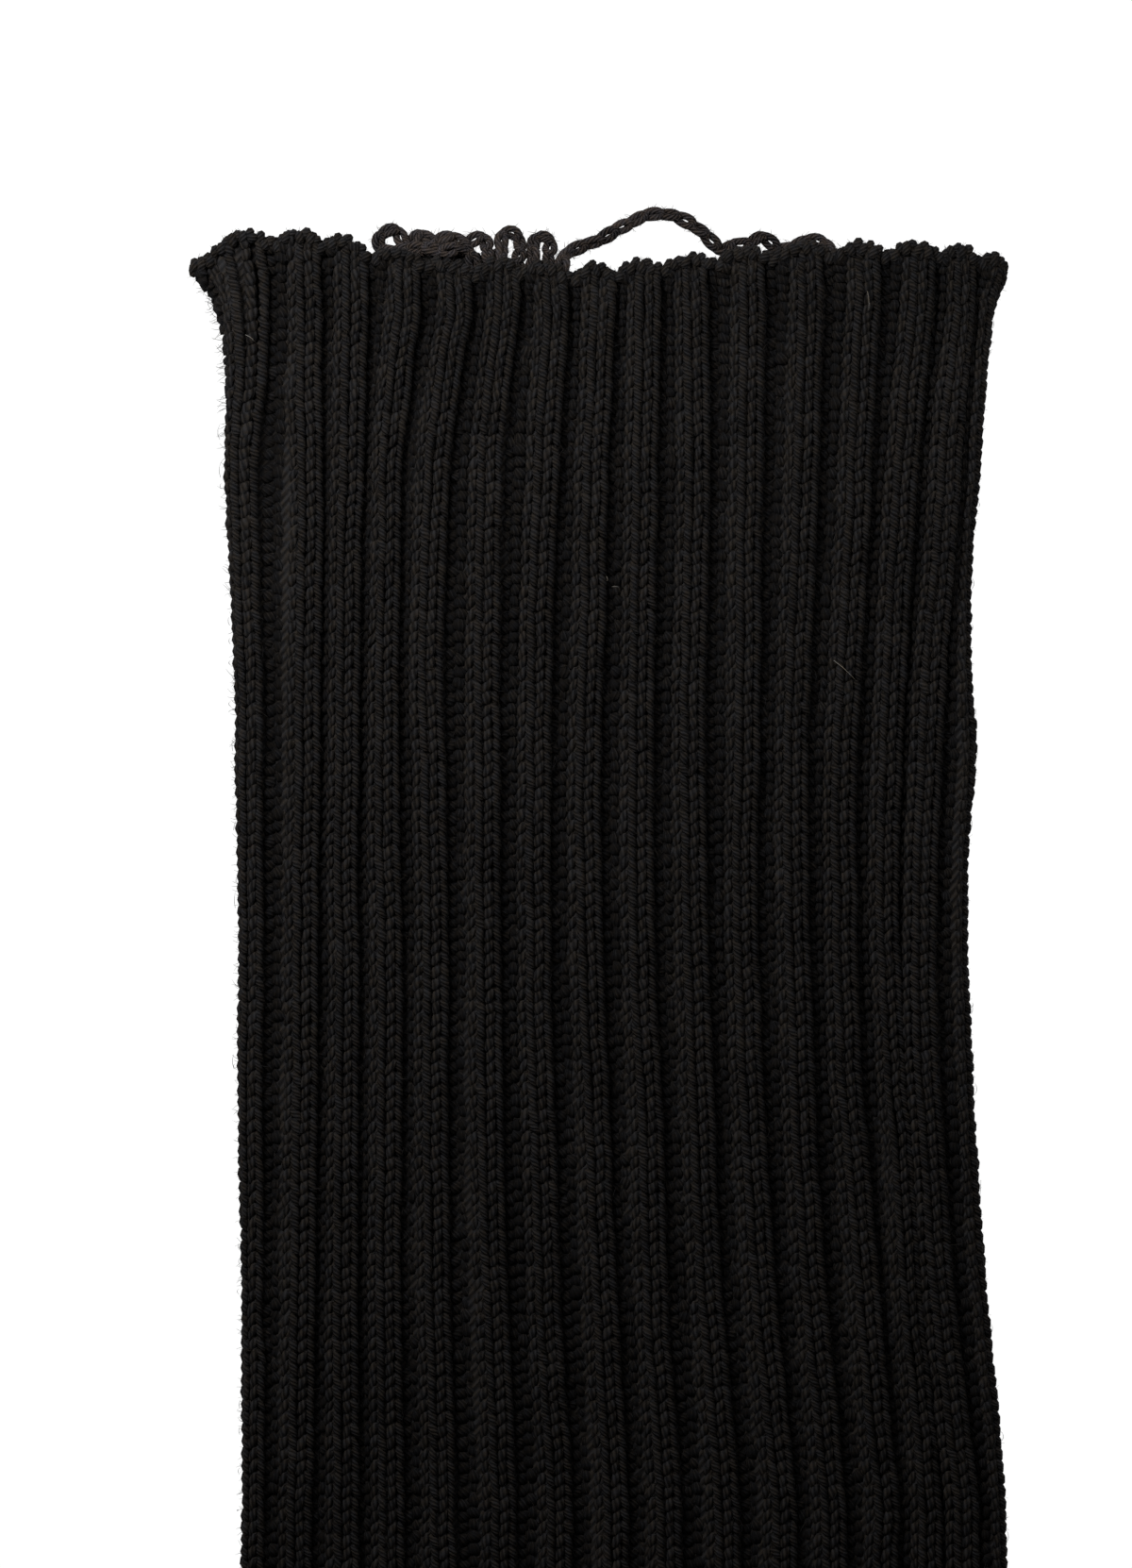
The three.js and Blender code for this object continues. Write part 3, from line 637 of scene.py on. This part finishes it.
# %% Knit the ribs
ROWS = 169
FIRST_ROW_DROP = 2.2
ROW_PITCH, ROW_PITCH_GAIN = 2.55, 0.0008
FULL_PITCH = 9.6  # a rib at least this wide has its columns at full width
FOLD_RIB_PITCH = 12.5  # the rib on the left fold is pulled wider
UPPER_RIBS = 16  # ribs that show from above, with those on the folds
STRAND_HALF = np.array([2.15, 0.97, 0.95])  # half of a strand's length, width and height
STRAND_SLANT = math.radians(17)
STRAND_TWIST = (0.5, 1.1)  # turn of the plies in strands that lean right and left
STRAND_DIVE = (0.1, 0.85)  # the lower end lies on the row below, and the upper end goes under the row above
HIDDEN_SIDES, HIDDEN_RINGS = 4, ((-0.6, 0.9), (0.6, 0.9))  # for the under layer
COLUMNS = (  # offset, way it leans, tilt in degrees and drop of the four columns
    (-2.95, 1, -34, 0.55), (-1.05, -1, -7, 0.0), (1.05, 1, 7, 0.0), (2.85, -1, 38, 0.65))
COLUMN_SPACING, SPACING_GIVE = 1.9, (0.85, 1.3)  # of the first two, and how strands fill a change
SHIFT_LEVELS = (HEM_LEVEL, 20, 90, 170, TOP_LEVEL)
RIB_SHIFT = (1.5, 1.5, 1.1, 1.1, 1.0)  # the columns lie a little right of the middle between the valleys
FOLD_SHIFTS = {  # and by other amounts in the ribs beside the folds
    0: (1.0, 1.2, 1.2, 1.4, 3.0), 1: (1.2, 2.1, 2.1, 2.2, 1.4), 14: (0.7, -0.1, -0.2, 0.2, 0.3),
    15: (1.6, 1.6, 2.8, 1.0, 0.2)}
RIM_REACH = 11.0  # how far from an open edge its lobes still show in the rows
RIM_FILL = 1.2  # how far the valleys rise where they meet the rim
RIM_RISE, RIM_SINK = 0.7, 0.5  # there the outer columns rise, and all sink a little
RIB_SWAY, RIB_QUIVER, COLUMN_QUIVER, HEIGHT_SWAY = (0.22, 34), (0.09, 9), (0.06, 4), (0.08, 6)  # mm, rows
ROW_JITTER, HEIGHT_JITTER = 0.13, 0.05  # in mm
TILT_JITTER, SLANT_JITTER, SIZE_JITTER = 0.08, 0.09, 0.07  # in radians, and as a share of the size

rows = np.arange(ROWS)
row_levels = TOP_LEVEL - FIRST_ROW_DROP - rows * (ROW_PITCH + rows * ROW_PITCH_GAIN)
row_valleys = valley_distances(row_levels)


def wandering(size, reach):
    """Slow random drift along a column, with a spread of size, over about reach rows."""
    kernel = np.hanning(reach)
    noise = np.convolve(rng.normal(size=ROWS + 2 * reach), kernel / np.sqrt((kernel ** 2).sum()), mode="same")
    return size * noise[reach:reach + ROWS]


def turned(first, second, angle):
    """Two directions at right angles, both turned by an angle from the first towards the second."""
    cosine, sine = np.cos(angle)[:, None], np.sin(angle)[:, None]
    return cosine * first + sine * second, cosine * second - sine * first


def sized(size, *directions):
    return [direction * size[:, i:i + 1] for i, direction in enumerate(directions)]


def rim_push(level, share):
    """How near a place is to an open edge, from 0 to 1, and how far that edge's lobes push it."""
    top, hem = smooth(1 - (TOP_LEVEL - level) / RIM_REACH), smooth(1 - (level - HEM_LEVEL) / RIM_REACH)
    lobe = LOBE * (2 * smooth(np.sin(math.pi * share)) - 1) * (top - HEM_LOBE_SHARE * hem)
    return top + hem, lobe


def column_spots(rib):
    """Where the four columns of a rib lie along the section, row by row."""
    low, high = row_valleys[rib], row_valleys[rib + 1]
    squeeze = (high - low) / FOLD_RIB_PITCH if rib == 0 else np.minimum((high - low) / FULL_PITCH, 1.0)
    shift = 0.0
    if rib < UPPER_RIBS:
        shift = np.interp(row_levels, SHIFT_LEVELS, FOLD_SHIFTS.get(rib, RIB_SHIFT))
    middle = (low + high) / 2 + shift + wandering(*RIB_SWAY) + wandering(*RIB_QUIVER)
    return [middle + offset * squeeze + wandering(*COLUMN_QUIVER) for offset, *_ in COLUMNS]


spots = np.array([column_spots(rib) for rib in range(RIBS)])


def knit_columns(rib):
    """Places and directions of every strand of one rib, column by column."""
    parts = []
    for (_, lean, tilt_degrees, drop), spot in zip(COLUMNS, spots[rib]):
        levels = row_levels + rng.normal(0, ROW_JITTER, ROWS)
        near, lobe = rim_push(levels, (spot - row_valleys[rib]) / (row_valleys[rib + 1] - row_valleys[rib]))
        out = RIB_WALL - STRAND_HALF[2] - drop * (1 - RIM_RISE * near) - RIM_SINK * near
        out += wandering(*HEIGHT_SWAY) + rng.normal(0, HEIGHT_JITTER, ROWS)
        point, round_it, outward = knitted(levels, spot, out, lobe)
        column = -unit(np.gradient(point, axis=0))
        up, flat = turned(outward, round_it, math.radians(tilt_degrees) + rng.normal(0, TILT_JITTER, ROWS))
        slant = lean * (STRAND_SLANT + rng.normal(0, SLANT_JITTER, ROWS))
        size = STRAND_HALF * (1 + rng.normal(0, SIZE_JITTER, (ROWS, 3)))
        size[:, 1] *= np.clip(np.abs(spots[rib][1] - spots[rib][0]) / COLUMN_SPACING, *SPACING_GIVE)
        along, side = turned(column, flat, slant)
        twist = np.full(ROWS, STRAND_TWIST[0] if lean > 0 else STRAND_TWIST[1])
        parts.append((point, *sized(size, along, side, up), twist))
    return [np.concatenate(part) for part in zip(*parts)]


knit_pieces = []
for rib in range(RIBS):
    sides, rings = (STRAND_SIDES, STRAND_RINGS) if rib < UPPER_RIBS else (HIDDEN_SIDES, HIDDEN_RINGS)
    *strands, twist = knit_columns(rib)
    knit_pieces.append(spindles(f"rib_{rib + 1:02d}", *strands, sides, rings, STRAND_DIVE, twist=twist))
print(len(knit_pieces), "ribs of", ROWS, "rows")

# %% [markdown]
# Between two ribs the fabric turns over and shows its purl side: short strands that lie across the valley.
# They sit deep and mostly in shade, and where a valley is stretched open, beside a fold, they show as a
# ladder of small bumps.

# %% Purl the valleys
UP_THE_LEG = np.array([0.0, 1.0, 0.0])
PURL_HALF = np.array([1.45, 1.6, 0.65])  # half of a bump's length, width and height
PURL_PLACES = ((0.36, 1.5), (0.72, 2.3))  # share of the way to the next rib, and how far out
# painted shade: the purl bumps get a darker tone because the valleys lie in shade
PURL_SHADE_TONE, PURL_TONE_SPREAD = -0.1, 0.12  # the valleys look darker
PURL_RINGS, PURL_DIVE = ((-0.55, 0.9), (0.55, 0.9)), (0.8, 0.8)
PURL_SPACING, PURL_GIVE = 1.65, (0.75, 2.0)  # a third of a valley, and how bumps fill a change
PURL_LEAN = 1.4  # each column leans to its rib
PURL_SPOT_JITTER, PURL_ROW_JITTER, PURL_OUT_JITTER = 0.12, 0.2, 0.15  # in mm
PURL_LEAN_JITTER, PURL_SIZE_JITTER = 0.25, 0.1
UPPER_VALLEYS, UPPER_PURL_SIDES, UNDER_PURL_SIDES = UPPER_RIBS + 1, 5, 4


def purl_valley(valley):
    """Two columns of crosswise bumps between two ribs; the one beside the next rib rises on its flank."""
    whole = row_valleys[-1] - row_valleys[0]
    before = spots[valley - 1, -1] - (whole if valley == 0 else 0)
    after = spots[valley, 0]
    parts = []
    for share, out in PURL_PLACES:
        spot = before + (after - before) * share + rng.normal(0, PURL_SPOT_JITTER, ROWS)
        levels = row_levels + (share - 0.5) * ROW_PITCH + rng.normal(0, PURL_ROW_JITTER, ROWS)
        near, lobe = rim_push(levels, 0 * levels)
        height = out + RIM_FILL * near + rng.normal(0, PURL_OUT_JITTER, ROWS)
        point, round_it, outward = knitted(levels, spot, height, lobe)
        lean = (0.5 - share) * PURL_LEAN + rng.normal(0, PURL_LEAN_JITTER, ROWS)
        size = PURL_HALF * (1 + rng.normal(0, PURL_SIZE_JITTER, (ROWS, 3)))
        size[:, 0] *= np.clip((after - before) / 3 / PURL_SPACING, *PURL_GIVE)
        along, side = turned(round_it, UP_THE_LEG, lean)
        tone = rng.normal(PURL_SHADE_TONE, PURL_TONE_SPREAD, ROWS)
        parts.append((point, *sized(size, along, side, outward), tone))
    return [np.concatenate(part) for part in zip(*parts)]


def purl_piece(name, valleys, sides):
    *strands, tone = [np.concatenate(part) for part in zip(*[purl_valley(v) for v in valleys])]
    return spindles(name, *strands, sides, PURL_RINGS, PURL_DIVE, tone=tone)


purl_pieces = [purl_piece("purl_valleys_upper", range(UPPER_VALLEYS), UPPER_PURL_SIDES),
               purl_piece("purl_valleys_under", range(UPPER_VALLEYS, RIBS), UNDER_PURL_SIDES)]
print("purl bumps:", len(PURL_PLACES) * ROWS * RIBS)

# %% [markdown]
# The top edge is bound off: each stitch is passed over the next, which leaves a row of knobs along the rim.
# Here a stitch of it is four short plump strands that lean over one another. They follow the ribs, so every
# rib ends in a small lobe. The lower edge is the cast-on, made the same way but a little flatter.

# %% Bind off the edges
EDGE_STITCH, EDGE_INSET = 2.45, 1.3  # from one stitch to the next, and from the rim to their middles
EDGE_HALF = np.array([1.5, 1.1, 1.15])
EDGE_SIDES, EDGE_RINGS = 7, ((-0.72, 0.8), (0.0, 1.0), (0.72, 0.8))
EDGE_STRANDS = (  # place in the stitch, share of the wall, lean, reach beyond the rim
    (0.0, 0.78, 1.45, -0.1), (0.5, 0.66, 1.15, 0.75), (0.25, 0.32, 0.9, 0.5), (0.75, 0.05, -0.4, 0.0))
HEM_GIRTH = 0.92
EDGE_JITTER, EDGE_SIZE_JITTER = 0.25, 0.08
RIB_ROUNDNESS = 0.6  # below 1 a rib is fuller than a plain wave


def edge_chain(name, level, lobe_size, girth):
    """Strands along a rim, four for each stitch."""
    valleys = valley_distances(np.array([level]))[:, 0]
    count = round((valleys[-1] - valleys[0]) / EDGE_STITCH)
    direction = np.sign(level)
    parts = []
    for start, depth, lean, reach in EDGE_STRANDS:
        spot = valleys[0] + (np.arange(count) + start) * (valleys[-1] - valleys[0]) / count
        crest = np.sin(math.pi * (np.interp(spot, valleys, np.arange(RIBS + 1)) % 1))
        lobe = direction * (lobe_size * (2 * smooth(crest) - 1) + reach)
        wall = VALLEY_WALL + RIM_FILL + (RIB_WALL - VALLEY_WALL - RIM_FILL) * crest ** RIB_ROUNDNESS
        jitter = rng.normal(0, EDGE_JITTER, (3, count))
        point, round_it, outward = knitted(level + 0 * spot, spot + jitter[0], wall * depth, lobe + jitter[1])
        size = EDGE_HALF * (1 + rng.normal(0, EDGE_SIZE_JITTER, (count, 3))) * (1, girth, girth)
        along, side = turned(round_it, direction * UP_THE_LEG, lean + jitter[2])
        parts.append((point, *sized(size, along, side, direction * outward)))
    strands = [np.concatenate(part) for part in zip(*parts)]
    return spindles(name, *strands, EDGE_SIDES, EDGE_RINGS, dive=(0.0, 0.0))


edge_pieces = [edge_chain("bound_off_edge", TOP_LEVEL - EDGE_INSET, LOBE, 1.0),
               edge_chain("cast_on_edge", HEM_LEVEL + EDGE_INSET, LOBE * HEM_LOBE_SHARE, HEM_GIRTH)]
edge_points = EDGE_SIDES * len(EDGE_RINGS) + 2
print("edge strands:", sum(len(piece.data.vertices) for piece in edge_pieces) // edge_points)

# %% [markdown]
# Worn wool is never clean-edged. Short fibres lie over the ribs, and they stand off both folds and the rim,
# where they blur the outline. A few pale hairs of lint have settled on it too, each where the photograph
# shows one.

# %% Loose fibres and lint
SURFACE_FIBRES, FOLD_FIBRES, RIM_FIBRES = 1500, 1500, 1100
SURFACE_LENGTH, FOLD_LENGTH, RIM_LENGTH = (1.2, 3.6), (1.0, 2.6), (0.8, 1.9)
FIBRE_INSET, RIM_ROOT = 2.0, 1.0  # how far from a rim they start
FOLD_ROOT = RIB_WALL - 2.2  # deep in the strands of a fold
LINT_BOW = (0.2, 0.1, 0.0)
LINT = np.array([  # start and end, in millimetres
    [(-78.6, 206.6, 10.2), (-76.6, 205.1, 10.3)], [(59.0, 216.0, 13.0), (59.3, 211.8, 12.7)],
    [(1.3, 153.1, 10.2), (1.5, 152.0, 10.2)], [(2.6, 150.8, 10.2), (4.0, 150.7, 10.2)],
    [(51.7, 134.5, 10.2), (56.7, 129.9, 10.2)],
])


def anywhere(count):
    """Random levels that keep clear of both rims."""
    return rng.uniform(HEM_LEVEL + FIBRE_INSET, TOP_LEVEL - FIBRE_INSET, count)


def surface_fibres(count):
    level, rib, share = anywhere(count), rng.integers(0, UPPER_RIBS, count), rng.random(count)
    valleys, each = valley_distances(level), np.arange(count)
    spot = valleys[rib, each] + share * (valleys[rib + 1, each] - valleys[rib, each])
    wall = VALLEY_WALL + (RIB_WALL - VALLEY_WALL) * np.sin(math.pi * share) ** RIB_ROUNDNESS
    point, round_it, outward = knitted(level, spot, wall, rim_push(level, share)[1])
    direction = turned(round_it, UP_THE_LEG, rng.normal(math.pi / 2, 0.7, count))[0]
    along = direction * rng.uniform(*SURFACE_LENGTH, (count, 1))
    bow = outward * rng.uniform(0.1, 0.5, (count, 1)) + round_it * rng.normal(0, 0.4, (count, 1))
    return point, along, bow


def fold_fibres(count):
    level, right = anywhere(count), rng.random(count) < 0.5
    valleys = valley_distances(level)
    half = (valleys[-1] - valleys[0]) / 2
    point, _, outward = knitted(level, right * half + rng.normal(0, 1.5, count), FOLD_ROOT)
    along = outward * rng.uniform(*FOLD_LENGTH, (count, 1)) + UP_THE_LEG * rng.normal(0, 1.0, (count, 1))
    return point, along, UP_THE_LEG * rng.normal(0, 0.4, (count, 1))


def rim_fibres(count):
    level = np.full(count, TOP_LEVEL - RIM_ROOT)
    valleys = valley_distances(level[:1])[:, 0]
    spot = rng.uniform(valleys[0], valleys[-1], count)
    share = np.interp(spot, valleys, np.arange(RIBS + 1)) % 1
    wall = rng.uniform(0.4, 0.95, count) * (VALLEY_WALL + (RIB_WALL - VALLEY_WALL) * np.sin(math.pi * share))
    point, round_it, outward = knitted(level, spot, wall, rim_push(level, share)[1] + 0.3)
    along = UP_THE_LEG * rng.uniform(*RIM_LENGTH, (count, 1)) + round_it * rng.normal(0, 1.0, (count, 1))
    return point, along, outward * rng.normal(0, 0.4, (count, 1))


hair_parts = zip(surface_fibres(SURFACE_FIBRES), fold_fibres(FOLD_FIBRES), rim_fibres(RIM_FIBRES))
hairs = [np.concatenate(part) for part in hair_parts]
loose_fibres = fibres("loose_fibres", *hairs, knit_wool)
pale_lint = wool_yarn("pale_lint_fibre", "#3c3935", "#77726a", 0.02, 0.02, 0.0)
lint_bow = np.full((len(LINT), 3), LINT_BOW)
lint = fibres("lint", LINT[:, 0], LINT[:, 1] - LINT[:, 0], lint_bow, pale_lint)
print("loose fibres:", SURFACE_FIBRES + FOLD_FIBRES + RIM_FIBRES, "and lint:", len(LINT))

# %% [markdown]
# Every stitch piece belongs to the cloth. Its flat size comes from the tables: the section is about 330 mm
# round at the waist, and the tube is 460 mm long.

on_the_cloth = [*knit_pieces, *purl_pieces, *edge_pieces, loose_fibres, lint]
for piece in [cloth, *on_the_cloth]:
    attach(piece, "root")
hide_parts("leg_tube")
print("pieces on the cloth:", len(on_the_cloth))

# %% [markdown]
# The surroundings are plain. The photograph is cut out on pure white, so the floor glows an even white of
# its own and shows no shadow; were it any brighter, it would swallow the loose fibres. The knitting gets
# darker towards the lower edge of the photograph, so both soft lamps hang beyond the top edge.

# %% Floor and light
FLOOR_REACH, FLOOR_HEIGHT = 3.0, -0.0002
LAMP_SIZE, ROOM_LIGHT = 0.22, 0.115


def plain_floor():
    material, tree = empty_material("pale_paper")
    glow = {"Base Color": linear("#202020"), "Roughness": 0.9, "Emission Color": linear("#ffffff"),
            "Emission Strength": 1.0}
    paper = add_node(tree, "ShaderNodeBsdfPrincipled", glow)
    add_node(tree, "ShaderNodeOutputMaterial", links={"Surface": paper.outputs["BSDF"]})
    mesh = bpy.data.meshes.new("floor")
    signs = ((-1, -1), (1, -1), (1, 1), (-1, 1))
    mesh.from_pydata([(x * FLOOR_REACH, y * FLOOR_REACH, FLOOR_HEIGHT) for x, y in signs], [], [(0, 1, 2, 3)])
    mesh.materials.append(material)
    floor = bpy.data.objects.new("floor", mesh)
    bpy.context.scene.collection.objects.link(floor)


def soft_lamp(name, place, aim, power):
    lamp = bpy.data.lights.new(name, "AREA")
    lamp.shape, lamp.size, lamp.energy = "SQUARE", LAMP_SIZE, power
    holder = bpy.data.objects.new(name, lamp)
    holder.location = place
    direction = np.array(place) - np.array(aim)
    flat = math.hypot(direction[0], direction[1])
    holder.rotation_euler = (math.atan2(flat, direction[2]), 0.0, math.atan2(direction[0], -direction[1]))
    bpy.context.scene.collection.objects.link(holder)


plain_floor()
soft_lamp("left_lamp", place=(-0.28, 0.38, 0.33), aim=(-0.10, 0.20, 0.0), power=2.95)
soft_lamp("right_lamp", place=(0.28, 0.38, 0.36), aim=(0.10, 0.45, 0.0), power=1.3)
world = bpy.data.worlds.new("studio")
world.use_nodes = True
background = world.node_tree.nodes["Background"]
background.inputs["Color"].default_value = (1.0, 1.0, 1.0, 1.0)
background.inputs["Strength"].default_value = ROOM_LIGHT
bpy.context.scene.world = world
bpy.context.scene.view_settings.view_transform = "Standard"
meshes = [thing.data for thing in bpy.context.scene.objects if thing.type == "MESH"]
print("triangles in all:", sum(len(mesh.loops) - 2 * len(mesh.polygons) for mesh in meshes))
